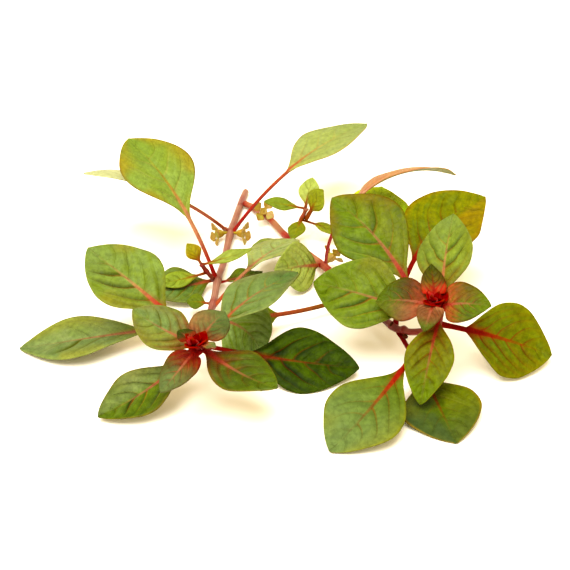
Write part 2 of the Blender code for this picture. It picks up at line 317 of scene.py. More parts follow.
def stemTube(stem, backwards):
    # a four-cornered ring, extruded along the route and closed at both ends
    shape = bmesh.new()
    run = shape.verts.layers.float.new("run")
    turnLayer = shape.verts.layers.float.new("turn")
    rings = stemRings(stem)
    if backwards:
        place, centre, ahead = rings[0]
        rings.insert(0, (place, centre - ahead * backwards, ahead))
    made = bmesh.ops.create_circle(shape, segments=stemBuild["segments"], radius=1.0)["verts"]
    for vert in made:
        angle = math.atan2(vert.co.y, vert.co.x)
        vert[turnLayer] = angle / math.tau % 1.0
        vert.co *= 1.0 + stemBuild["corners"] * math.cos(4 * angle)
    turn = rings[0][2].to_track_quat("Z", "Y")
    last = Matrix.Identity(4)
    edges = shape.edges[:]
    first = edges
    travelled = 0.0
    for i, (place, centre, ahead) in enumerate(rings):
        if i:
            turn = rings[i - 1][2].rotation_difference(ahead) @ turn
            travelled += (centre - rings[i - 1][1]).length
            grown = bmesh.ops.extrude_edge_only(shape, edges=edges)["geom"]
            made = [part for part in grown if isinstance(part, bmesh.types.BMVert)]
            edges = [part for part in grown if isinstance(part, bmesh.types.BMEdge)
                     and all(vert in made for vert in part.verts)]
        radius = stemRadius(stem, place)
        if nearNode(stem, place):
            away = (centre - stemCurve(stem, round(place))).length / stemBuild["scarWidth"]
            radius *= 1.0 + stemBuild["scar"] * math.exp(-away * away)
        now = ringMatrix(centre, turn, radius)
        bmesh.ops.transform(shape, matrix=now @ last.inverted(), verts=made)
        last = now
        for vert in made:
            vert[run] = travelled
    for rim in (first, edges):
        bmesh.ops.contextual_create(shape, geom=rim)
    return shape


# Leaves, in opposite pairs from the cut ends to the rosettes

def leafPlan(node, heading, rise, blade, width, stalk=0.6, arch=0, sway=0, roll=0,
             widest=0.5, fold=8, neck=None, base=1.5):
    # arch is how far it bends down by its tip and sway how far it turns to its left; roll
    # raises its left half and lowers its right one, fold raises both; neck is its width at
    # the foot and base how slim it stays there
    return {
        "node": node, "heading": heading, "rise": rise, "blade": blade, "width": width,
        "stalk": stalk, "arch": arch, "sway": sway, "roll": roll,
        "widest": widest, "fold": fold, "neck": neck, "base": base,
    }


leafPlans = {
    "left": {
        "leaf_1a": leafPlan("n1", 180, 43.3, 29, 18, stalk=18, arch=33, sway=14, roll=16),
        "leaf_1b": leafPlan("n1", 38, 42, 33, 19, stalk=23, arch=42, roll=-8),
        "leaf_2a": leafPlan("n2", 126, 54, 33, 23, 17, arch=40, sway=6, widest=0.57),
        "leaf_2b": leafPlan("n2", 208, 2, 18, 14, roll=-16),
        "leaf_2c": leafPlan("n2", 32, -4, 12, 7),
        "leaf_3a": leafPlan("n3", 60, 14, 25, 15, 13, 24, -5, roll=-14, widest=0.6),
        "leaf_3b": leafPlan("n3", 172, 4, 5.2, 5.5, arch=8, roll=-15),
        "leaf_4a": leafPlan("n4", 185, -5, 35, 19, 14, 7, -7, roll=-3, widest=0.55),
        "leaf_4b": leafPlan("n4", 340, 20, 16.5, 16.4, arch=95, roll=45),
        "leaf_5a": leafPlan("n5", 146, 29, 30, 20, stalk=11, arch=18, sway=-9, roll=-15),
        "leaf_5b": leafPlan("n5", 359, -13, 29, 18, stalk=10, arch=-9, sway=-2, roll=32),
        "leaf_6a": leafPlan("n6", 211, -34, 24.5, 15, 6.5, -26, roll=-8, widest=0.53, base=0.9),
        "leaf_6b": leafPlan("n6", 45, 31, 27, 16, stalk=4, arch=30, sway=-12, roll=-5),
        "leaf_7a": leafPlan("n7", 157, 10, 18, 11.2, arch=-11, sway=-9, roll=-28, neck=2.4, base=1.0),
        "leaf_7b": leafPlan("n7", 316, -14, 22, 14, arch=-18, sway=12, roll=6, neck=2, base=1.25),
        "leaf_8a": leafPlan("n8", 232, -23, 13, 7, 0.6, 7, -6, -11, 0.43, neck=3, base=0.7),
        "leaf_8b": leafPlan("n8", 62, 27, 10.3, 8.4, 0.6, 28, -9, 11, 0.43, neck=3, base=0.55),
        "leaf_9a": leafPlan("n9", 141, 21, 3.7, 4, arch=10, widest=0.36, neck=2.4, base=0.7),
        "leaf_9b": leafPlan("n9", 335, 15, 3.5, 2.6, arch=20, base=0.8),
    },
    "left_shoot": {
        "leaf_a": leafPlan("n2", 144, 47, 6, 4.5, arch=6, roll=-20),
        "leaf_b": leafPlan("n2", 350, 19, 14, 5, arch=-10, roll=10),
        "leaf_c": leafPlan("n1", 199, -9, 12, 5, 1.5, arch=-12, roll=-30),
    },
    "right": {
        "leaf_2a": leafPlan("n2", 220, 13, 12, 7, arch=20, roll=10),
        "leaf_3a": leafPlan("n3", 230, 23, 18.4, 14, arch=12, sway=-9, roll=-63),
        "leaf_3b": leafPlan("n3", 18, 88, 32, 14, 22, 118, -2, -25, widest=0.28, base=1.1),
        "leaf_4a": leafPlan("n4", 71, 36, 25.5, 17, 11, 22, 14, roll=10, widest=0.66),
        "leaf_4b": leafPlan("n4", 210, -3, 17, 10, stalk=23, arch=-18, sway=-5, roll=-52),
        "leaf_5a": leafPlan("n5", 81, 33, 32, 21.4, stalk=19, arch=27, sway=-51, roll=13),
        "leaf_5b": leafPlan("n5b", 289, -10.6, 27, 20, 14.3, -5, -7, roll=7, widest=0.56),
        "leaf_6a": leafPlan("n6", 116, 42, 33, 20, 12, 29, 22, roll=-27, widest=0.56),
        "leaf_6b": leafPlan("n6", 246, -7, 33, 20, 13, 13, -22, roll=-10, widest=0.6),
        "leaf_7a": leafPlan("n7", 162, 17, 27, 20, stalk=6, arch=19, sway=-6, roll=-36),
        "leaf_7b": leafPlan("n7", 6, -16, 25, 20, 6.5, arch=10, roll=43, base=1.2),
        "leaf_8a": leafPlan("n8", 85, 45, 24, 15, stalk=3.5, arch=16, sway=-13, roll=-18),
        "leaf_8b": leafPlan("n8", 254, -20, 24, 12, arch=25),
        "leaf_9a": leafPlan("n9", 164, 12, 14, 11, 0.6, 31, 7, -36, neck=2.6, base=1.0),
        "leaf_9b": leafPlan("n9", 350, 17, 12, 9.6, 0.6, 19, -8, 33, 0.37, neck=3, base=0.6),
        "leaf_10a": leafPlan("n10", 92, 32, 9.3, 4.4, 0.6, 12, widest=0.38, neck=3, base=0.5),
        "leaf_10b": leafPlan("n10", 250, -8, 8.3, 4.8, 0.6, 30, widest=0.4, neck=3, base=0.5),
    },
    "back_shoot": {
        "leaf_a": leafPlan("n2", 185, 13, 10.5, 5, stalk=1.2, roll=-16),
        "leaf_b": leafPlan("n2", 73, 48, 9, 6, arch=16),
        "leaf_c": leafPlan("n2", 350, 63, 8, 7, roll=45),
        "leaf_d": leafPlan("n1", 253, -9, 8, 5, arch=17, sway=-6),
        "leaf_e": leafPlan("n1", 339, -5, 8, 5, stalk=3, arch=23),
    },
}

leafBuild = {
    # stalk: it is slim and grows with each millimetre of the blade's width, up to stalkWidth
    "stalkWidth": 1.3, "slimStalk": 0.62, "stalkGrowth": 0.036, "stalkThickness": 1.1,
    "stalkCrown": 0.38, "crownRound": 0.97, "stalkEdge": 0.18,      # rounded top, and thin sides
    "heel": 0.3, "heelStart": 0.4, "heelLength": 1.2,               # it starts this much wider
    "joinGap": 0.3, "stemDepth": 0.35, "leastSlant": 0.5, "longestFoot": 3.2,
    # midrib: half of its width where the stalk ends and at the tip
    "ribWidth": (0.92, 0.2), "ribTaper": 0.45, "ribThickness": 0.75,
    "rutWidth": 1.7, "rutMargin": 0.25, "ridgeWidth": 0.8, "keelWidth": 1.3,
    # side veins: how far one runs forward for each step outwards, and more at the rim
    "veinSlant": (0.5, 0.95), "firstVein": 20, "veinWander": 0.22, "wanderRate": (6.0, 1.2, 9.0),
    "stagger": (0.25, 0.6), "creases": (0.15, 1.0), "puffRound": 0.5, "puffStart": 0.4, "puffReach": 2.0,
    # blade
    "bladeStart": 0.12, "tipTaper": 0.78, "flatEnds": (0.16, 0.86), "flatRim": (0.95, 0.6),
    "bladeThickness": 0.4, "rimThickness": 0.26, "rimStart": 0.55, "roughRim": 0.03,
    "foldStart": 0.25, "foldSteepness": 1.5, "foldEasing": 0.8,
    "dents": 0.16, "dentRate": (5.0, 2.5), "noiseReach": 50.0,
    # how finely it is divided
    "bendSteps": 44, "rowLength": 0.34, "leastRows": 16, "evenRows": 0.6,
    "stalkRow": 1.0, "leastStalkRows": 3, "columnWidth": 0.52, "leastColumns": 7,
    "nearRib": 0.45,            # the columns beside the midrib are this much closer together
}


def way(heading, rise):
    h, r = math.radians(heading), math.radians(rise)
    return Vector((math.cos(h) * math.cos(r), math.sin(h) * math.cos(r), math.sin(r)))


def leftAndUp(ahead, roll):
    flatLeft = Vector((0.0, 0.0, 1.0)).cross(ahead).normalized()
    left = Matrix.Rotation(math.radians(roll), 3, ahead) @ flatLeft
    return left, ahead.cross(left)


def aheadAt(leaf, share):
    return way(leaf["heading"] + leaf["sway"] * share, leaf["rise"] - leaf["arch"] * share)


def leafFoot(stem, leaf):
    # where the solid leaf starts, just clear of its stem, and how far back it reaches into the stem
    places = [Vector(place) for place in stemRoutes[stem].values()]
    i = list(stemRoutes[stem]).index(leaf["node"])
    ahead = aheadAt(leaf, 0.0)
    along = (places[min(i + 1, len(places) - 1)] - places[i - 1]).normalized()
    outward = (ahead - along * ahead.dot(along)).normalized()
    left, up = leftAndUp(ahead, leaf["roll"])
    radius = stemRadius(stem, i)
    reach = radius + leafBuild["joinGap"]
    reach += abs(left.dot(outward)) * (leaf["neck"] or leafBuild["stalkWidth"]) / 2
    reach += max(0.0, up.dot(outward)) * leafBuild["stalkThickness"]
    slant = max(leafBuild["leastSlant"], ahead.dot(outward))
    backwards = (reach - leafBuild["stemDepth"] * radius) / slant
    return places[i] + outward * reach, min(backwards, leafBuild["longestFoot"])


def midrib(leaf, foot):
    # points and directions at equal steps from the foot to the tip
    steps = leafBuild["bendSteps"]
    step = (leaf["stalk"] + leaf["blade"]) / steps
    rib = [(foot, aheadAt(leaf, 0.0))]
    for k in range(steps):
        point = rib[-1][0] + aheadAt(leaf, (k + 0.5) / steps) * step
        rib.append((point, aheadAt(leaf, (k + 1) / steps)))
    return rib


def ribAt(rib, distance, total):
    # the point and direction at a distance, which is below zero inside the stem
    if distance < 0.0:
        return rib[0][0] + rib[0][1] * distance, rib[0][1]
    place = distance / total * leafBuild["bendSteps"]
    k = min(int(place), leafBuild["bendSteps"] - 1)
    (start, ahead), (end, aheadNext) = rib[k:k + 2]
    return start.lerp(end, place - k), ahead.lerp(aheadNext, place - k).normalized()


def halfWidth(leaf, along, stalkWidth):
    lean = math.log(0.5) / math.log(leaf["widest"])
    taper = leaf["base"] + (leafBuild["tipTaper"] - leaf["base"]) * along
    bulge = max(0.0, math.sin(math.pi * along ** lean)) ** taper
    return (leaf["neck"] or stalkWidth) / 2 * (1.0 - along) + leaf["width"] / 2 * bulge


def smooth(value, start, end):
    t = min(1.0, max(0.0, (value - start) / (end - start)))
    return t * t * (3.0 - 2.0 * t)


def hump(distance, width):
    return math.exp(-(distance / width) ** 2)


def dome(edge, fullness=1.0):
    # a round back's height, 1 in the middle
    return math.sqrt(max(0.0, 1.0 - fullness * edge * edge))


def leafRows(leaf, backwards):
    # distances from the foot, closer together at both ends of the blade
    stalk = leaf["stalk"] + backwards
    stalkRows = max(leafBuild["leastStalkRows"], round(stalk / leafBuild["stalkRow"]))
    bladeRows = max(leafBuild["leastRows"], round(leaf["blade"] / leafBuild["rowLength"]))
    rows = [stalk * i / stalkRows - backwards for i in range(stalkRows)]
    for i in range(bladeRows + 1):
        even = i / bladeRows
        eased = (1 - math.cos(math.pi * even)) / 2
        along = leafBuild["evenRows"] * even + (1 - leafBuild["evenRows"]) * eased
        rows.append(leaf["stalk"] + leaf["blade"] * along)
    return rows


leafFields = ("along", "side", "vein", "crease", "rib", "stalk")


def leafSheet(shape, leaf, look, foot, backwards, seed):
    # the leaf's upper face, with its midrib, side veins and the quilting between them
    build = leafBuild
    dice = random.Random(seed)
    stagger = dice.uniform(*build["stagger"])
    drift = dice.uniform(0.0, build["noiseReach"])      # where in the noise this leaf lies
    phases = (dice.uniform(0.0, math.tau), dice.uniform(0.0, math.tau))
    # some side veins are creased deeply and others hardly show
    creases = [[dice.uniform(*build["creases"]) for _ in range(3 * build["firstVein"])] for _ in range(2)]
    layers = {
        name: shape.verts.layers.float.get(name) or shape.verts.layers.float.new(name)
        for name in leafFields
    }
    weights = shape.verts.layers.deform.verify()
    stalkWidth = min(build["stalkWidth"], build["slimStalk"] + build["stalkGrowth"] * leaf["width"])
    stalkWidth *= look["stalkScale"]
    slim = stalkWidth / build["stalkWidth"]
    stalkThickness = build["stalkThickness"] * slim
    crown = build["stalkCrown"] * slim
    rib = midrib(leaf, foot)
    rows = leafRows(leaf, backwards)
    columns = 2 * max(build["leastColumns"], round(leaf["width"] / build["columnWidth"] / 2))
    grid = bmesh.ops.create_grid(
        shape, x_segments=len(rows) - 1, y_segments=columns, size=0.5,
    )["verts"]
    byRow = {}
    for vert in grid:
        byRow.setdefault(round((vert.co.x + 0.5) * (len(rows) - 1)), []).append(vert)
    fold = math.radians(leaf["fold"])
    slantStart, slantMore = build["veinSlant"]
    wanderAlong, wanderAcross, wanderHand = build["wanderRate"]
    dentAlong, dentAcross = build["dentRate"]
    for row, verts in byRow.items():
        distance = rows[row]
        point, ahead = ribAt(rib, distance, leaf["stalk"] + leaf["blade"])
        left, up = leftAndUp(ahead, leaf["roll"])
        along = max(0.0, (distance - leaf["stalk"]) / leaf["blade"])
        half = halfWidth(leaf, along, stalkWidth)
        fromHeel = max(0.0, distance + build["heelStart"] * backwards) / build["heelLength"]
        half *= 1.0 + build["heel"] * math.exp(-fromHeel)
        ribHalf = build["ribWidth"][0] * look["ribScale"] * slim
        ribHalf += (build["ribWidth"][1] - ribHalf) * along ** build["ribTaper"]
        onBlade = smooth(along, 0.0, build["bladeStart"])
        ends = smooth(along, 0.0, build["flatEnds"][0]) * smooth(along, 1.0, build["flatEnds"][1])
        for vert in verts:
            side = 2.0 * vert.co.y
            side *= build["nearRib"] + (1.0 - build["nearRib"]) * abs(side)
            edge = abs(side)
            hand = 0 if side > 0.0 else 1
            wander = noise.noise(Vector(
                (drift + along * wanderAlong, side * wanderAcross, hand * wanderHand)))
            across = half * side * (1.0 + build["roughRim"] * wander * edge)
            out = abs(across)
            # side veins are counted on from firstVein at the foot, on either half by itself
            advance = out / leaf["blade"] * (slantStart + slantMore * edge)
            vein = look["pairs"] * (along - advance) + stagger * hand
            vein += build["veinWander"] * wander + build["firstVein"]
            crease = creases[hand][round(vein)]
            # the blade's fold, then puffs between the veins, dents, the midrib and the wavy rim
            lift = half * math.sin(fold) * edge * (build["foldSteepness"] - build["foldEasing"] * edge)
            lift *= min(1.0, along / build["foldStart"])
            puff = look["quilt"] * crease * (abs(math.sin(math.pi * vein)) ** build["puffRound"] - 1.0)
            puff *= smooth(out, build["puffStart"] * ribHalf, build["puffReach"] + ribHalf)
            lift += puff * ends * smooth(edge, *build["flatRim"])
            dent = noise.noise(Vector((drift, along * dentAlong, side * dentAcross)))
            lift += build["dents"] * dent * ends * edge
            lift -= look["rut"] * hump(out, build["rutWidth"] * ribHalf + build["rutMargin"]) * ends
            lift += look["ridge"] * hump(out, build["ridgeWidth"] * ribHalf) * onBlade
            wave = math.sin(math.tau * look["waves"] * along + phases[hand])
            lift += look["waveHeight"] * wave * edge ** 3 * ends
            lift -= crown * (1.0 - dome(edge, build["crownRound"])) * (1.0 - onBlade)
            # a round stalk, which runs out as a keel under a blade with a thin rim
            stalkThick = build["stalkEdge"] + (stalkThickness - build["stalkEdge"]) * dome(edge)
            thick = build["bladeThickness"]
            thick += (build["rimThickness"] - thick) * smooth(edge, build["rimStart"], 1.0)
            keel = build["ribThickness"] * (1.0 - along) + thick * along
            thick += (keel - thick) * hump(out, build["keelWidth"] * ribHalf)
            thick = stalkThick + (thick - stalkThick) * onBlade
            vert[weights][0] = thick / build["stalkThickness"]
            upStalk = min(1.0, max(0.0, distance) / max(leaf["stalk"], 0.1))
            for layer, value in zip(layers.values(), (along, side, vein, crease, out / ribHalf, upStalk)):
                vert[layer] = value
            place = point + left * (across * math.cos(fold)) + up * lift
            vert.co = (place - plantMiddle) * mm


# What a leaf is coloured with. A coat is a kind of leaf, and each leaf has a strength and two
# greens of its own and may change the rest.

plainCoat = dict(
    slot="leaf", shade="moss", under="sage",
    pattern=0.45, bloom=0.1, mottle=0.16,       # how far its greens differ, the painted highlight and shade on its puffs, and its grain
    left="leaf", leftDepth=0.0, right="leaf", rightDepth=0.0,
    tip="sage", tipDepth=0.3, tipFrom=0.65,
    foot="moss", footDepth=0.6, footReach=0.3, footStrength=1.0,
    rim="mustard", rimDepth=0.5, rimFrom=0.9,
    flush="amber", flushDepth=0.0,              # warm patches near the rim
    streak="rose", streakDepth=0.0,             # between the side veins
    vein="amber", veinDepth=0.38,
    valley=0.4, foldSide=0.0,                   # the painted shade of its folds, and how much more of it on the left
    node="scarlet", haloDepth=0.5, ribFoot="scarlet", ribTip="rose", ribSpan=0.5,
    ribScale=1.0, stalkScale=1.0, sheen=0.05,
    pairs=5.0, quilt=1.05,                      # pairs of side veins, and how far it puffs between them
    rut=0.35, ridge=0.25, waves=1.6, waveHeight=0.35,
)


def coated(coat, **changes):
    return {**coat, **changes}


def leafLook(coat, strength, green, second, **changes):
    return coated(coat, strength=strength, green=green, second=second, **changes)


oldCoat = coated(
    plainCoat, shade="fern", mottle=0.1, tip="leaf", foot="spring",
    footDepth=0.4, rim="amber", vein="straw", veinDepth=0.15, valley=0.2, haloDepth=0.15,
    ribFoot="salmon", ribTip="amber", quilt=0.3, rut=0.25, ridge=0.2, waves=1.4, waveHeight=0.25)
greenCoat = coated(
    plainCoat, bloom=0.4, pattern=0.9, mottle=0.14, rim="lime", rimDepth=0.35,
    flush="bronze", flushDepth=0.25, valley=0.85, haloDepth=0.35, ribFoot="coral")
warmCoat = coated(
    plainCoat, bloom=0.25, pattern=0.8, tip="mustard", tipDepth=0.2,
    foot="olive", footReach=0.4, footStrength=1.1, flush="olive", flushDepth=0.4, vein="bronze",
    veinDepth=0.45, valley=0.6, node="cherry", ribTip="brick", ribSpan=0.8, ribScale=0.9, sheen=0.03,
    pairs=6.0, quilt=0.95)
youngCoat = coated(
    plainCoat, slot="young_leaf", shade="umber", bloom=0.25, under="rose",
    left="rose", tip="fern", tipDepth=0.9, foot="scarlet", footDepth=0.85, footReach=0.4,
    footStrength=1.25, rim="rust", rimDepth=0.3, flush="umber", flushDepth=0.4, streak="coral",
    streakDepth=0.5, vein="salmon", veinDepth=0.4, node="cherry", ribSpan=0.4, ribScale=0.8,
    sheen=0.04, quilt=0.45, rut=0.25, ridge=0.2, waves=1.2, waveHeight=0.2)
babyCoat = coated(
    plainCoat, pattern=0.35, mottle=0.12, under="lime", tip="apple",
    foot="amber", footDepth=0.5, rimDepth=0.3, vein="mustard", veinDepth=0.2, node="brick",
    haloDepth=0.2, ribFoot="brick", ribTip="mustard", ribScale=0.7, pairs=4.0, quilt=0.25, rut=0.15,
    ridge=0.12, waves=1.2, waveHeight=0.2)

leafLooks = {
    "left": {
        "leaf_1a": leafLook(
            oldCoat, 1.15, "paleLime", "paleLime", shade="lime", tip="paleLime", foot="paleLime",
            rim="paleLime", node="coral"),
        "leaf_1b": leafLook(
            oldCoat, 1.03, "lime", "mint", tip="sage", foot="straw", footDepth=0.3, rim="straw",
            ribFoot="coral", ribTip="straw"),
        "leaf_2a": leafLook(oldCoat, 1.2, "meadow", "apple", tipDepth=0.5, rim="bronze", flushDepth=0.5),
        "leaf_2b": leafLook(greenCoat, 1.3, "blueGreen", "fern", rimDepth=0.2, quilt=0.3),
        "leaf_2c": leafLook(greenCoat, 1.25, "leaf", "moss"),
        "leaf_3a": leafLook(
            greenCoat, 1.07, "mint", "lime", shade="sage", tip="mint", foot="straw", node="coral",
            ribFoot="salmon", ribTip="salmon", quilt=0.5),
        "leaf_3b": leafLook(babyCoat, 0.85, "apple", "apple", foot="rust"),
        # its blue-green near half is partly its own colour and partly painted glare and shade
        "leaf_4a": leafLook(
            greenCoat, 0.93, "sage", "mint", bloom=0.15, pattern=0.5, left="blueGreen", leftDepth=0.55,
            right="apple", rightDepth=0.35, foot="apple", rimDepth=0.4, rimFrom=0.75, flush="mustard",
            flushDepth=0.6, veinDepth=0.08, valley=0.7, foldSide=0.9, ribFoot="rose", pairs=6.0,
            quilt=0.5),
        # its high strength is painted light, which makes up for the shade of the leaves above it
        "leaf_4b": leafLook(
            greenCoat, 1.68, "sage", "fern", shade="fern", tip="blueGreen", veinDepth=0.1, valley=0.4,
            haloDepth=0.3, ribScale=0.9),
        "leaf_5a": leafLook(
            greenCoat, 0.95, "meadow", "apple", footReach=0.35, flush="amber", flushDepth=0.3,
            veinDepth=0.15, foldSide=0.9, ribFoot="scarlet", ribTip="salmon", ribScale=1.15, pairs=5.5),
        "leaf_5b": leafLook(
            greenCoat, 1.19, "deep", "bottle", shade="night", bloom=0.0, mottle=0.25, tip="bottle",
            foot="night", rim="moss", rimDepth=0.2, flushDepth=0.0, vein="rust", veinDepth=0.25,
            valley=0.7, node="cherry", haloDepth=0.5, ribFoot="rust", ribTip="rust", ribSpan=0.9,
            ribScale=0.7, sheen=0.02, quilt=0.5),
        "leaf_6a": leafLook(
            greenCoat, 0.88, "leaf", "fern", shade="bottle", mottle=0.2, right="mint", rightDepth=0.55,
            tip="fern", rim="amber", veinDepth=0.3, valley=1.4, foldSide=0.6, ribFoot="scarlet",
            quilt=1.1),
        "leaf_6b": leafLook(
            greenCoat, 0.98, "sage", "sage", shade="fern", tip="blueGreen", tipDepth=0.9, foot="rose",
            footReach=0.15, flush="rose", flushDepth=0.15, veinDepth=0.3, ribScale=0.75),
        "leaf_7a": leafLook(
            greenCoat, 0.95, "sage", "apple", slot="young_leaf", mottle=0.18, left="mustard",
            leftDepth=0.4, foot="rust", footDepth=0.9, footReach=0.5, flush="rust", flushDepth=0.3,
            veinDepth=0.15, valley=0.7, haloDepth=0.5, ribFoot="brick", ribScale=0.8, quilt=0.7),
        "leaf_7b": leafLook(
            greenCoat, 0.85, "fern", "moss", shade="umber", bloom=0.2, mottle=0.18, tip="leaf",
            tipDepth=0.6, foot="rust", footDepth=0.7, footReach=0.45, rim="amber", flush="sage",
            flushDepth=0.5, veinDepth=0.12, valley=0.7, haloDepth=0.7, ribFoot="scarlet", ribScale=1.15,
            quilt=0.9),
        "leaf_8a": leafLook(
            youngCoat, 0.8, "umber", "bronze", left="bronze", leftDepth=0.35, right="moss",
            rightDepth=0.4, tip="sage", tipFrom=0.35, foot="cherry", footDepth=0.95, footStrength=0.9,
            streakDepth=0.3),
        "leaf_8b": leafLook(
            youngCoat, 0.69, "sage", "sage", pattern=0.6, left="salmon", leftDepth=0.6, right="deep",
            rightDepth=0.6, tip="sage", foot="rust", footReach=0.25, footStrength=1.0, flushDepth=0.1,
            streakDepth=0.4, ribFoot="brick"),
        "leaf_9a": leafLook(
            youngCoat, 0.8, "umber", "deep", tip="deep", footReach=0.35, footStrength=0.9),
        "leaf_9b": leafLook(youngCoat, 1.0, "sage", "bronze", tip="sage"),
    },
    "left_shoot": {
        "leaf_a": leafLook(
            babyCoat, 1.2, "mustard", "amber", slot="young_leaf", foot="rust", footDepth=0.9,
            footReach=0.5),
        "leaf_b": leafLook(babyCoat, 1.15, "lime", "apple"),
        "leaf_c": leafLook(babyCoat, 1.2, "spring", "apple"),
    },
    "right": {
        "leaf_2a": leafLook(babyCoat, 1.0, "lime", "apple"),
        "leaf_3a": leafLook(greenCoat, 1.3, "lime", "spring", shade="leaf", quilt=0.5),
        "leaf_3b": leafLook(
            oldCoat, 1.15, "straw", "salmon", shade="coral", tip="straw", foot="salmon", footDepth=0.8,
            footReach=0.8, rim="salmon", flushDepth=0.6, ribFoot="coral", ribTip="coral"),
        # its high strength is painted light, which lifts it out of the shade of the leaves above as if lit
        # through
        "leaf_4a": leafLook(warmCoat, 3.41, "leaf", "fern", foot="amber"),
        "leaf_4b": leafLook(
            greenCoat, 2.03, "apple", "fern", under="salmon", node="bronze", stalkScale=1.3),
        "leaf_5a": leafLook(
            warmCoat, 0.9, "grass", "mustard", pattern=0.7, mottle=0.2, right="amber", rightDepth=0.75,
            foot="rust", footDepth=0.7, footReach=0.2, rim="amber", rimDepth=0.6, rimFrom=0.8,
            flush="mustard", veinDepth=0.4, ribTip="amber", sheen=0.02),
        # its slate right half and tip are partly its own colour and partly a painted bluish glare on its
        # lower part
        "leaf_5b": leafLook(
            warmCoat, 1.13, "fern", "moss", shade="deep", pattern=0.3, left="olive", leftDepth=0.4,
            right="slate", rightDepth=1.0, tip="slate", tipDepth=0.6, rim="amber", veinDepth=0.12,
            valley=0.25, ribFoot="cherry", ribTip="rust"),
        "leaf_6a": leafLook(
            greenCoat, 1.0, "leaf", "fern", shade="deep", pattern=1.0, mottle=0.16, right="olive",
            rightDepth=0.45, tip="apple", foot="olive", rim="bronze", flushDepth=0.55, veinDepth=0.28,
            valley=1.0, ribFoot="scarlet", ribSpan=0.45, quilt=1.0),
        # its sage tip half is partly its own colour and partly a painted pale glare
        "leaf_6b": leafLook(
            warmCoat, 0.95, "leaf", "fern", tip="sage", tipDepth=0.9, tipFrom=0.25, foot="moss",
            flush="mustard", flushDepth=0.35, veinDepth=0.3, valley=0.4, foldSide=0.3, ribTip="rust",
            ribScale=1.2, quilt=0.6),
        "leaf_7a": leafLook(
            greenCoat, 0.92, "apple", "leaf", shade="deep", pattern=1.0, mottle=0.16, right="apple",
            rightDepth=0.3, tip="leaf", tipDepth=0.5, flushDepth=0.3, veinDepth=0.3, valley=1.0,
            foldSide=0.6, ribFoot="brick", ribScale=0.75, quilt=1.3),
        "leaf_7b": leafLook(
            warmCoat, 0.9, "grass", "olive", shade="bronze", pattern=1.0, mottle=0.2, foot="brick",
            footReach=0.15, rimFrom=0.85, flush="mustard", flushDepth=0.3, vein="rust", veinDepth=0.55,
            valley=0.5, node="scarlet", haloDepth=0.7, ribFoot="cherry", ribTip="scarlet",
            ribScale=1.15, stalkScale=1.15, sheen=0.02),
        "leaf_8a": leafLook(
            greenCoat, 0.93, "spring", "apple", shade="deep", left="sage", leftDepth=0.35,
            foot="bronze", footDepth=0.8, footReach=0.45, flush="olive", flushDepth=0.4, veinDepth=0.3,
            ribTip="salmon", ribScale=0.8, quilt=0.7),
        "leaf_8b": leafLook(
            warmCoat, 0.98, "olive", "olive", shade="umber", pattern=0.6, mottle=0.2, tip="leaf",
            tipDepth=0.9, tipFrom=0.5, foot="rust", footDepth=0.7, footReach=0.35, flush="leaf",
            flushDepth=0.3, veinDepth=0.3, ribTip="rose"),
        "leaf_9a": leafLook(
            youngCoat, 0.7, "moss", "rust", left="salmon", leftDepth=0.8, right="umber",
            rightDepth=0.45, tip="leaf", tipFrom=0.45, foot="coral", footDepth=1.0, footReach=0.35,
            footStrength=0.9),
        "leaf_9b": leafLook(
            youngCoat, 0.88, "leaf", "moss", left="bronze", leftDepth=0.7, tip="leaf", foot="coral",
            footReach=0.35, footStrength=1.1, flushDepth=0.2, streakDepth=0.3),
        "leaf_10a": leafLook(
            youngCoat, 0.8, "olive", "umber", tip="moss", footDepth=1.0, footReach=0.35,
            footStrength=1.3, vein="bronze", veinDepth=0.15, ribTip="rust"),
        "leaf_10b": leafLook(
            youngCoat, 0.63, "rose", "bronze", tip="leaf", foot="salmon", footDepth=0.7, footReach=0.3),
    },
    "back_shoot": {
        "leaf_a": leafLook(babyCoat, 0.95, "spring", "apple"),
        "leaf_b": leafLook(babyCoat, 1.3, "lime", "lime"),
        "leaf_c": leafLook(
            babyCoat, 1.3, "mustard", "apple", foot="brick", footDepth=0.8, stalkScale=1.6),
        "leaf_d": leafLook(babyCoat, 0.9, "mustard", "apple"),
        "leaf_e": leafLook(babyCoat, 1.15, "mustard", "apple"),
    },
}

leafGrain = {
    "patches": 120.0, "fine": 950.0, "mottle": 560.0, "net": 560.0,
    "flush": 75.0, "streaks": 420.0, "drawn": 4.5, "underPatches": 150.0, "underFine": 900.0,
    "redStrength": 0.95,        # the reds don't follow the strength of the greens
    "bump": 0.55, "bumpDepth": 0.00045,
}


def tint(look, part):
    return paint(look[part], look["strength"])


def redTint(look, part):
    return paint(look[part], leafGrain["redStrength"])


def leafPlaces(tree):
    # what the finish reads of its place on the leaf
    at = SimpleNamespace(**{name: field(tree, name) for name in leafFields})
    at.edge = maths("ABSOLUTE", at.side)
    at.toVein = maths("PINGPONG", at.vein, 0.5)
    return at


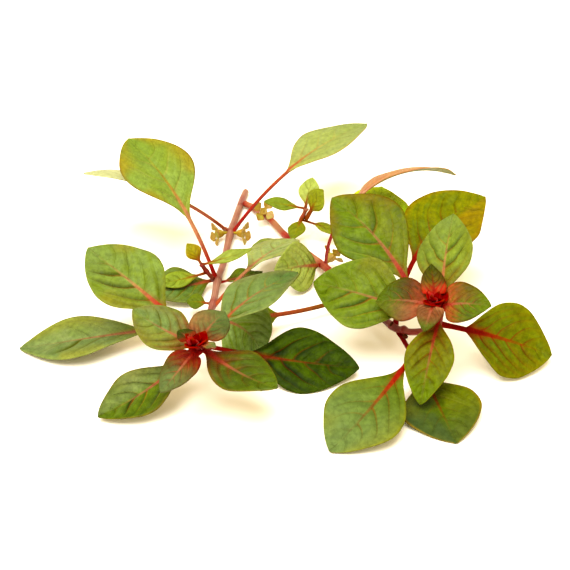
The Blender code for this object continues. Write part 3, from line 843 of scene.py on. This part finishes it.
def leafGreens(tree, look, at):
    # broad patches and streaks, lighter in the middle of the blade, with a painted highlight on the lit
    # side of each puff just before its side vein
    drawn = streaks(at.vein, at.side, leafGrain["drawn"])
    light = plus(slope(at.patches, 0.36, 0.64, 0.0, 0.4), slope(drawn, 0.34, 0.66, 0.0, 0.25),
                 slope(at.edge, 1.0, 0.3, 0.0, 0.15), slope(at.between, 0.1, 0.7, 0.0, 0.2))
    least, most = 0.5 - look["pattern"] / 2, 0.5 + look["pattern"] / 2
    colour = over(tint(look, "second"), tint(look, "green"), slope(light, 0.1, 0.9, least, most))
    # a painted highlight on the lightest patches and puffs, and painted shade on the darkest
    colour = over(colour, paint("meadow", look["strength"]), slope(light, 0.6, 1.0, 0.0, look["bloom"]))
    colour = over(colour, tint(look, "shade"), slope(light, 0.3, 0.0, 0.0, look["bloom"]))
    # either half, and then the tip, may have a colour of its own
    for half, inner, outer in (("left", -0.05, 0.3), ("right", 0.05, -0.3)):
        share = times(slope(at.side, inner, outer), slope(at.patches, 0.2, 0.6), look[half + "Depth"])
        colour = over(colour, tint(look, half), share)
    tip = slope(plus(at.along, times(at.patches, 0.4)), look["tipFrom"], 1.1)
    colour = over(colour, tint(look, "tip"), times(tip, look["tipDepth"]))
    # a warm flush in places near the rim
    flush = slope(grain(tree, leafGrain["flush"]), 0.42, 0.6)
    flush = times(flush, slope(at.edge, 0.25, 0.95), look["flushDepth"])
    colour = over(colour, tint(look, "flush"), flush)
    # the warmer foot of the blade, reaching up along the side veins
    reach = plus(at.along, times(at.patches, 0.3), times(at.toVein, 0.35))
    foot = slope(reach, look["footReach"] + 0.3, look["footReach"] * 0.3 + 0.12)
    colour = over(colour, paint(look["foot"], look["footStrength"]), times(foot, look["footDepth"]))
    # red streaks between the veins of young leaves
    streak = slope(grain(tree, leafGrain["streaks"]), 0.35, 0.6)
    streak = times(slope(at.toVein, 0.1, 0.3), slope(at.along, 0.65, 0.1), streak, look["streakDepth"])
    return over(colour, tint(look, "streak"), streak)


def leafVeins(look, at, colour):
    # the side veins: painted shade in each fold, dark on its tip side and darkest in the crease, with the
    # vein itself at its bottom
    leftMore = slope(at.side, -0.05, 0.05, 1.0 - look["foldSide"], 1.0 + look["foldSide"])
    inside = times(slope(at.along, 0.9, 0.6), leftMore)
    fold = times(slope(at.edge, 0.95, 0.45), at.crease, inside, look["valley"])
    colour = over(colour, tint(look, "shade"), times(slope(at.between, 0.5, 0.0), fold))
    colour = over(colour, tint(look, "shade"), times(slope(at.toVein, 0.06, 0.0), fold, 0.7))
    nearRib = slope(plus(at.edge, at.along), 1.1, 0.2)
    line = slope(plus(at.toVein, times(at.edge, 0.09)), 0.12, 0.03)
    veinColour = over(tint(look, "vein"), redTint(look, "ribFoot"), nearRib)
    colour = over(colour, veinColour, times(line, inside, look["veinDepth"]))
    halo = times(slope(at.rib, 3.2, 0.8), slope(at.along, 0.45, 0.0), look["haloDepth"])
    colour = over(colour, redTint(look, "node"), halo)
    colour = over(colour, tint(look, "shade"), times(slope(at.net, 0.1, 0.0), 0.08))
    rim = times(slope(at.edge, look["rimFrom"], 1.0), look["rimDepth"])
    colour = over(colour, tint(look, "rim"), rim)
    # midrib: red from the node, paler towards the tip, and lost in the green at last
    toTip = slope(at.along, 0.0, look["ribSpan"])
    ribColour = over(redTint(look, "ribFoot"), redTint(look, "ribTip"), toTip)
    ribColour = over(redTint(look, "node"), ribColour, slope(at.stalk, 0.1, 1.0))
    onRib = times(slope(at.rib, 1.2, 0.6), slope(at.along, 0.88, 0.1, 0.05, 0.95))
    return over(colour, ribColour, maths("MAXIMUM", onRib, slope(at.along, 0.04, 0.0)))


def leafUpper(name, look):
    made, tree, shader = newFinish(name + "_upper", 0.45, look["sheen"])
    at = leafPlaces(tree)
    at.between = maths("FRACT", at.vein)    # from one side vein, 0, to the next one towards the tip, 1
    at.patches = grain(tree, leafGrain["patches"], 4.0, 0.5)
    at.fine = grain(tree, leafGrain["fine"], 3.0)
    at.net = netting(tree, leafGrain["net"])
    colour = leafVeins(look, at, leafGreens(tree, look, at))
    # mottled all over, coarse and fine
    coarse = slope(grain(tree, leafGrain["mottle"], 4.0), 0.32, 0.68, 1.0 - look["mottle"], 1.08)
    colour = over(colour, plus(coarse, slope(at.fine, 0.3, 0.7, -0.09, 0.09)), 1.0, "MULTIPLY")
    dent = times(slope(at.toVein, 0.0, 0.1), slope(at.edge, 0.9, 0.5), at.crease)
    height = plus(times(at.fine, 0.4), slope(at.net, 0.0, 0.14, 0.0, 0.25), dent)
    dress(shader, colour, height, leafGrain["bump"], leafGrain["bumpDepth"])
    plug(slope(at.fine, 0.3, 0.7, 0.38, 0.52), shader.inputs["Roughness"])
    return made


def leafUnder(name, look):
    # paler and duller, with the midrib standing out
    made, tree, shader = newFinish(name + "_under", 0.6)
    at = leafPlaces(tree)
    patches = grain(tree, leafGrain["underPatches"], 3.0, 0.4)
    colour = over(tint(look, "under"), tint(look, "green"), slope(patches, 0.35, 0.8, 0.1, 0.6))
    line = times(slope(at.toVein, 0.09, 0.02), slope(at.edge, 0.9, 0.2), 0.45)
    colour = over(colour, paint("blush"), line)
    ribColour = over(tint(look, "node"), paint("blush"), slope(at.along, 0.0, 0.6))
    onRib = maths("MAXIMUM", slope(at.rib, 1.6, 0.8), slope(at.along, 0.04, 0.0))
    dress(shader, over(colour, ribColour, onRib), grain(tree, leafGrain["underFine"], 3.0), 0.25, 0.0002)
    return made


def addPiece(name, mesh):
    # a piece that stands for the node of the same name
    piece = bpy.data.objects.new(name + "_fine", mesh)
    bpy.context.scene.collection.objects.link(piece)
    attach(piece, "root")
    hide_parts(name)
    return piece


def meshOf(name, shape, finishes):
    mesh = bpy.data.meshes.new(name)
    shape.to_mesh(mesh)
    shape.free()
    mesh.shade_smooth()
    for finish in finishes:
        mesh.materials.append(finish)
    return mesh


def addLeaf(name, sheet, finishes):
    # a sheet of one or more leaves, merged at their tips and given its thickness
    bmesh.ops.remove_doubles(sheet, verts=sheet.verts, dist=mergeGap)
    piece = addPiece(name, meshOf(name + "_fine", sheet, finishes))
    piece.vertex_groups.new(name="thickness")
    solid = piece.modifiers.new("thickness", "SOLIDIFY")
    solid.thickness = leafBuild["stalkThickness"] * mm
    solid.offset = -1.0
    solid.vertex_group = "thickness"
    solid.material_offset = 1
    solid.material_offset_rim = 0


leaves = [(stem, leaf) for stem, plans in leafPlans.items() for leaf in plans]
for seed, (stem, leaf) in enumerate(leaves):
    name = stem + "_" + leaf
    plan, look = leafPlans[stem][leaf], leafLooks[stem][leaf]
    foot, backwards = leafFoot(stem, plan)
    sheet = bmesh.new()
    leafSheet(sheet, plan, look, foot, backwards, seed)
    addLeaf(name, sheet, (leafUpper(name, look), leafUnder(name, look)))
print("leaves grown:", len(leaves))


# The folded youngest leaves in the middle of each rosette, as crossed pairs

def budFinish():
    made, tree, shader = newFinish("budRed", 0.4, 0.0)
    along, edge = field(tree, "along"), maths("ABSOLUTE", field(tree, "side"))
    colour = over(paint("cherry", 0.6), paint("scarlet", 0.55), slope(grain(tree, 700.0), 0.3, 0.6))
    # darker wine towards each leaflet's foot, partly the bud's own colour and partly painted shade in its
    # hollow middle
    colour = over(colour, paint("wine"), slope(along, 0.45, 0.1, 0.0, 0.8))
    colour = over(colour, paint("rust"), slope(along, 0.75, 1.0, 0.0, 0.7))
    colour = over(colour, paint("scarlet"), slope(edge, 0.8, 1.0, 0.0, 0.5))
    dress(shader, colour, grain(tree, 1500.0), 0.2)
    return made


buds = {
    "left_bud": {"stem": "left", "turn": 60.0, "backwards": 0.4, "seed": 900},
    "right_bud": {"stem": "right", "turn": 40.0, "backwards": 0.4, "seed": 910},
}
budPairs = (
    {"rise": 12.0, "blade": 3.9, "width": 3.3, "height": -1.2, "apart": 0.35},
    {"rise": 28.0, "blade": 3.1, "width": 2.5, "height": -0.9, "apart": 0.25},
    {"rise": 54.0, "blade": 2.2, "width": 1.5, "height": -0.4, "apart": 0.15},
)
budLeaf = dict(stalk=0.3, arch=-24, fold=14, widest=0.45)
budLook = coated(youngCoat, quilt=0.05, rut=0.08, ridge=0.06, waveHeight=0.05, pairs=4.0)
budRed = budFinish()
for name, bud in buds.items():
    before, last = (Vector(place) for place in list(stemRoutes[bud["stem"]].values())[-2:])
    upward = (last - before).normalized()
    sheet = bmesh.new()
    for k in range(2 * len(budPairs)):
        pair = budPairs[k // 2]
        heading = bud["turn"] + 90.0 * (k // 2) + 180.0 * (k % 2)
        plan = leafPlan(None, heading, pair["rise"], pair["blade"], pair["width"], **budLeaf)
        foot = last + upward * pair["height"]
        foot += way(heading, 0.0) * pair["apart"]
        leafSheet(sheet, plan, budLook, foot, bud["backwards"], bud["seed"] + k)
    addLeaf(name, sheet, (budRed, budRed))
print("buds folded")


def stemFinish(name, deep, pale, tipTint, redFrom):
    # fine lengthwise lines over a patchy skin, redder towards the rosette and at each node
    made, tree, shader = newFinish(name, 0.4, 0.2)
    run = field(tree, "run")
    colour = over(paint(deep, 1.1), paint(pale, 1.1), slope(grain(tree, 120.0), 0.35, 0.65))
    colour = over(colour, paint(tipTint, 1.25), slope(run, redFrom, redFrom + 30.0, 0.0, 0.85))
    # wine patches towards the rosette, partly the stem's own colour and partly painted shade from the
    # leaves above
    winePatchesAndShade = times(slope(grain(tree, 90.0, 1.0), 0.45, 0.6), slope(run, redFrom, redFrom + 15.0), 0.7)
    colour = over(colour, paint("wine"), winePatchesAndShade)
    lines = maths("SINE", times(field(tree, "turn"), stemBuild["lines"] * math.tau))
    colour = over(colour, paint("cherry"), times(slope(lines, 0.1, 1.0), 0.25))
    # pale blush lines, partly the stem's own striations and partly a painted highlight
    colour = over(colour, paint("blush"), times(slope(lines, -0.5, -1.0), 0.16))
    colour = over(colour, paint("cherry"), times(field(tree, "node"), 0.5))
    dress(shader, colour, plus(lines, grain(tree, 700.0)), 0.2)
    return made


def pithFinish():
    made, tree, shader = newFinish("cutPith", 0.6)
    colour = over(paint("straw"), paint("blush"), slope(grain(tree, 1200.0), 0.35, 0.65))
    dress(shader, colour, grain(tree, 1500.0), 0.3)
    return made


def darkBudFinish():
    made, tree, shader = newFinish("axilBudDark", 0.7, 0.05)
    colour = over(paint("wine", 1.6), paint("umber", 1.4), slope(grain(tree, 900.0), 0.3, 0.7))
    plug(colour, shader.inputs["Base Color"])
    return made


axilBuild = {"length": 1.5, "taper": 0.1842, "easing": 1.5}     # it narrows by taper, more near its tip


def axilBud(shape, at, pointing, size, dark=False):
    # a small dormant bud, pointed at its free end
    made = bmesh.ops.create_uvsphere(shape, u_segments=14, v_segments=10, radius=1.0)["verts"]
    for vert in made:
        vert.co.z *= axilBuild["length"]
        vert.co.xy *= 1.0 - axilBuild["taper"] * max(0.0, vert.co.z) ** axilBuild["easing"]
    turn = way(*pointing).to_track_quat("Z", "Y")
    bmesh.ops.transform(shape, matrix=ringMatrix(Vector(at), turn, size), verts=made)
    for face in {face for vert in made for face in vert.link_faces}:
        face.material_index = int(dark)


def nodeShare(shape, stem):
    # 1 on a node's ring and 0 beside it, for the darker scars
    layer = shape.verts.layers.float.new("node")
    rings = [Vector(place) for name, place in stemRoutes[stem].items() if name.startswith("n")]
    for vert in shape.verts:
        place = vert.co / mm + plantMiddle
        nearest = min((place - ring).length for ring in rings)
        vert[layer] = smooth(nearest, stemBuild["darkEnd"], stemBuild["darkFull"])


# A stem's tints and where it turns red, how far it starts inside the other stem, and its axil buds
stemPieces = {
    "left_stem": {
        "stem": "left", "skin": ("mauve", "blush", "cherry", 74.0), "backwards": 0.0,
        "axils": ({"at": (-17.9, 62.9, 3.0), "pointing": (180, 20), "size": 0.75},
                  {"at": (-14.0, 80.6, 2.4), "pointing": (250, 20), "size": 0.7}),
    },
    "right_stem": {
        "stem": "right", "skin": ("scarlet", "salmon", "cherry", 45.0), "backwards": 1.4,
        "axils": ({"at": (28.2, 0.2, 7.7), "pointing": (60, 70), "size": 0.62, "dark": True},
                  {"at": (31.3, -5.0, 7.4), "pointing": (200, 30), "size": 0.62, "dark": True}),
    },
    "left_shoot_stem": {
        "stem": "left_shoot", "skin": ("cherry", "rust", "cherry", 3.0), "backwards": 0.9, "axils": (),
    },
    "back_shoot_stem": {
        "stem": "back_shoot", "skin": ("coral", "salmon", "lime", 3.0), "backwards": 1.2, "axils": (),
    },
}
pith, darkBud = pithFinish(), darkBudFinish()
for name, build in stemPieces.items():
    shape = stemTube(build["stem"], build["backwards"])
    nodeShare(shape, build["stem"])
    run = shape.verts.layers.float["run"]
    for face in shape.faces:
        if len(face.verts) > 4 and face.verts[0][run] < 1.0:    # the cut end
            face.material_index = 2
    for axil in build["axils"]:
        axilBud(shape, **axil)
    bmesh.ops.recalc_face_normals(shape, faces=shape.faces)
    skins = stemFinish(name + "Skin", *build["skin"]), darkBud, pith
    addPiece(name, meshOf(name + "_fine", shape, skins))
print("stems drawn")


# Seed capsules: a four-lobed cup with a pointed sepal over each lobe

capsules = {
    "seed_capsule_1": {"at": (-18.0, 60.9, 2.8), "pointing": (205, 5), "seed": 700},
    "seed_capsule_2": {"at": (-14.6, 61.0, 2.7), "pointing": (340, 8), "seed": 710},
    "seed_capsule_3": {"at": (-7.2, 72.6, 3.6), "pointing": (290, 35), "seed": 720},
    "seed_capsule_4": {"at": (12.2, 41.3, 3.8), "pointing": (50, 25), "seed": 730},
}
capsuleBuild = {
    "profile": (
        (0.0, -0.95), (0.36, -0.9), (0.4, -0.2), (0.5, 0.05), (0.58, 0.25), (0.95, 0.85), (1.18, 1.6),
        (1.26, 2.3), (1.18, 2.7), (0.98, 2.85), (0.72, 2.72), (0.44, 2.6), (0.24, 2.72), (0.14, 3.1),
        (0.0, 3.2),
    ),
    "lobe": 0.12, "lobes": 4, "steps": 32,
    "lobeStart": (0.2, 1.2), "lobeEnd": (3.0, 2.6),     # the heights between which the lobes swell and end
    "rimRadius": 0.95, "rimHeight": 2.55,               # where the sepals stand
    "sepal": dict(rise=12, blade=2.7, width=2.5, stalk=0.1, arch=-14, fold=14),
    "sepalThickness": 0.22, "sepalBackwards": 0.3,
}
sepalLook = coated(babyCoat, quilt=0.03, rut=0.05, ridge=0.05, waveHeight=0.04)


def capsuleFinish():
    made, tree, shader = newFinish("capsuleSkin", 0.5)
    brick = paint("brick", 1.2)
    colour = over(paint("mustard", 1.6), paint("amber", 1.5), slope(grain(tree, 420.0, 3.0), 0.3, 0.55))
    colour = over(colour, brick, slope(grain(tree, 800.0), 0.6, 0.75, 0.0, 0.6))
    colour = over(colour, brick, slope(field(tree, "along"), 0.5, 1.0, 0.0, 0.5))
    dress(shader, colour, grain(tree, 1300.0), 0.3)
    return made


def capsuleCup():
    shape = bmesh.new()
    corners = [shape.verts.new((radius, 0.0, height)) for radius, height in capsuleBuild["profile"]]
    edges = [shape.edges.new(pair) for pair in zip(corners, corners[1:])]
    bmesh.ops.spin(shape, geom=corners + edges, cent=(0, 0, 0), axis=(0, 0, 1),
                   angle=math.tau, steps=capsuleBuild["steps"], use_merge=True)
    bmesh.ops.remove_doubles(shape, verts=shape.verts, dist=0.01)
    for vert in shape.verts:
        angle = math.atan2(vert.co.y, vert.co.x)
        swell = smooth(vert.co.z, *capsuleBuild["lobeStart"]) * smooth(vert.co.z, *capsuleBuild["lobeEnd"])
        vert.co.xy *= 1.0 - capsuleBuild["lobe"] * swell * math.cos(capsuleBuild["lobes"] * angle)
        vert.co *= mm
    bmesh.ops.recalc_face_normals(shape, faces=shape.faces)
    return shape


def addSepals(shape, seed):
    sepals = bmesh.new()
    for k in range(capsuleBuild["lobes"]):
        heading = 360 / capsuleBuild["lobes"] * (k + 0.5)
        foot = plantMiddle + way(heading, 0) * capsuleBuild["rimRadius"]
        foot += Vector((0.0, 0.0, capsuleBuild["rimHeight"]))
        sepal = leafPlan(None, heading, **capsuleBuild["sepal"])
        leafSheet(sepals, sepal, sepalLook, foot, capsuleBuild["sepalBackwards"], seed + k)
    bmesh.ops.remove_doubles(sepals, verts=sepals.verts, dist=mergeGap)
    bmesh.ops.solidify(sepals, geom=sepals.faces, thickness=capsuleBuild["sepalThickness"] * mm)
    sepalMesh = bpy.data.meshes.new("sepals")
    sepals.to_mesh(sepalMesh)
    sepals.free()
    shape.from_mesh(sepalMesh)
    bpy.data.meshes.remove(sepalMesh)


capsuleSkin = capsuleFinish()
for name, capsule in capsules.items():
    shape = capsuleCup()
    addSepals(shape, capsule["seed"])
    turn = way(*capsule["pointing"]).to_track_quat("Z", "Y")
    into = Matrix.LocRotScale((Vector(capsule["at"]) - plantMiddle) * mm, turn, None)
    bmesh.ops.transform(shape, matrix=into, verts=shape.verts)
    addPiece(name, meshOf(name + "_fine", shape, (capsuleSkin,)))
print("capsules set")


# The pale table, the lights and the camera, in metres from the middle of the cutting

studio = {
    "table": (0.93, 0.87, 0.76, 1.0), "tablePatches": (0.91, 0.85, 0.74, 1.0), "tableReach": 3.0,
    "sky": (1.0, 0.83, 0.5, 1.0), "skyStrength": 1.4,
    "lamps": {
        "key": {"at": (-0.15, -0.42, 1.0), "size": 0.85, "power": 28.0, "colour": (1.0, 1.0, 1.0)},
        "front": {"at": (-0.5, -0.6, 0.7), "size": 0.9, "power": 3.0, "colour": (1.0, 0.98, 0.94)},
    },
}
view = {
    "target": Vector((0.00045, -0.0235, 0.0197)), "distance": 0.411, "rise": 30.0,
    "lens": 100.0, "sensor": 36.0, "nearest": 0.01,
}


def tableFinish():
    made, tree, shader = newFinish("paleTable", 0.85, 0.1)
    plug(over(studio["table"], studio["tablePatches"], grain(tree, 30.0)), shader.inputs["Base Color"])
    return made


table = bmesh.new()
bmesh.ops.create_grid(table, x_segments=8, y_segments=8, size=studio["tableReach"])
floor = bpy.data.objects.new("table", meshOf("table", table, (tableFinish(),)))
bpy.context.scene.collection.objects.link(floor)

for name, light in studio["lamps"].items():
    lamp = bpy.data.lights.new(name, "AREA")
    lamp.shape = "SQUARE"
    lamp.size = light["size"]
    lamp.energy = light["power"]
    lamp.color = light["colour"]
    stand = bpy.data.objects.new(name, lamp)
    stand.location = light["at"]
    stand.rotation_euler = (view["target"] - stand.location).to_track_quat("-Z", "Y").to_euler()
    bpy.context.scene.collection.objects.link(stand)

world = bpy.data.worlds.new("studio")
world.use_nodes = True
sky = world.node_tree.nodes["Background"]
sky.inputs["Color"].default_value = studio["sky"]
sky.inputs["Strength"].default_value = studio["skyStrength"]
bpy.context.scene.world = world
bpy.context.scene.view_settings.view_transform = "Standard"

camera = bpy.data.objects.new("camera", bpy.data.cameras.new("camera"))
camera.data.lens = view["lens"]
camera.data.sensor_width = view["sensor"]
camera.data.clip_start = view["nearest"]
camera.location = view["target"] + way(-90.0, view["rise"]) * view["distance"]
camera.rotation_euler = (math.radians(90.0 - view["rise"]), 0.0, 0.0)
bpy.context.scene.collection.objects.link(camera)
bpy.context.scene.camera = camera
print("studio lit")
